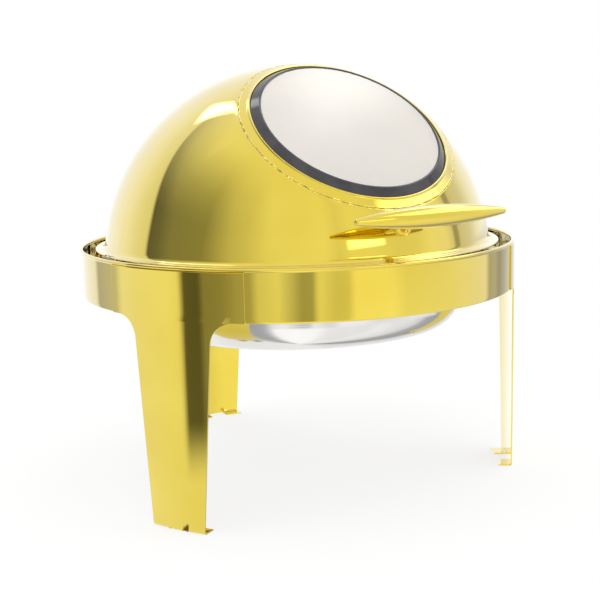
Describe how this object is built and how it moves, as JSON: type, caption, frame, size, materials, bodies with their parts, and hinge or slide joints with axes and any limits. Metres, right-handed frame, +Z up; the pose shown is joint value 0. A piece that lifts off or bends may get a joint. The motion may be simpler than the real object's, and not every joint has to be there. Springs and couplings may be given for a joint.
{
  "type": "chafing dish food warmer",
  "caption": "Round roll-top chafing dish: a gold domed lid with a round glass window and bar handle turns in a ring band on sheet-metal legs, over a food pan in a water pan.",
  "frame": {"origin": "on the floor, at the middle of the whole footprint including the handle", "axes": "+Z up, -Y towards the handle and window (the front), +X to the right seen from the front"},
  "size_m": [0.4624, 0.4898, 0.437],
  "materials": {
    "gold": "mirror polished gold-coloured plate",
    "pan_steel": "polished stainless steel",
    "bracket_steel": "satin stainless steel",
    "hardware": "bright zinc",
    "window_glass": "clear tempered glass",
    "black_seal": "glossy black silicone",
    "bumper_rubber": "matte black rubber",
    "bush_plastic": "natural nylon"
  },
  "bodies": {
    "stand": {"frame_ring": "gold", "leg_left": "gold", "leg_right": "gold", "leg_rear": "gold", "carrier_hoop_front": "bracket_steel", "carrier_hoop_rear": "bracket_steel", "carrier_lug_left": "bracket_steel", "carrier_lug_right": "bracket_steel", "front_bracket_left": "bracket_steel", "front_bracket_right": "bracket_steel", "leg_studs": "hardware", "leg_washers": "hardware", "leg_nuts": "hardware", "pivot_studs": "hardware", "pivot_spacers": "hardware", "pivot_washers": "hardware", "pivot_nuts": "hardware", "open_stops": "hardware", "bracket_studs": "hardware", "bracket_nuts": "hardware", "lid_bumpers": "bumper_rubber"},
    "lid": {"lid_dome": "gold", "lid_rim": "gold", "window_frame": "gold", "lid_ear_left": "bracket_steel", "lid_ear_right": "bracket_steel", "ear_rivets": "hardware", "ear_bushes": "bush_plastic", "window_glass": "window_glass", "window_gasket": "black_seal", "window_retainer": "bracket_steel", "retainer_studs": "hardware", "retainer_nuts": "hardware", "handle_bar": "gold", "handle_post": "gold", "handle_washer": "hardware", "handle_screw": "hardware"},
    "water_pan": {"water_pan": "pan_steel"},
    "food_pan": {"food_pan": "pan_steel", "food_pan_rim": "pan_steel"}
  },
  "joints": [
    {"name": "lid_roll", "type": "hinge", "parent": "stand", "child": "lid", "pos_m": [0, 0.01337, 0.231], "axis": [-1, 0, 0], "range_deg": [0, 90]},
    {"name": "water_pan_lift", "type": "slide", "parent": "stand", "child": "water_pan", "axis": [0, 0, 1], "range_m": [0, 0.008]},
    {"name": "food_pan_lift", "type": "slide", "parent": "water_pan", "child": "food_pan", "axis": [0, 0, 1], "range_m": [0, 0.014]}
  ]
}
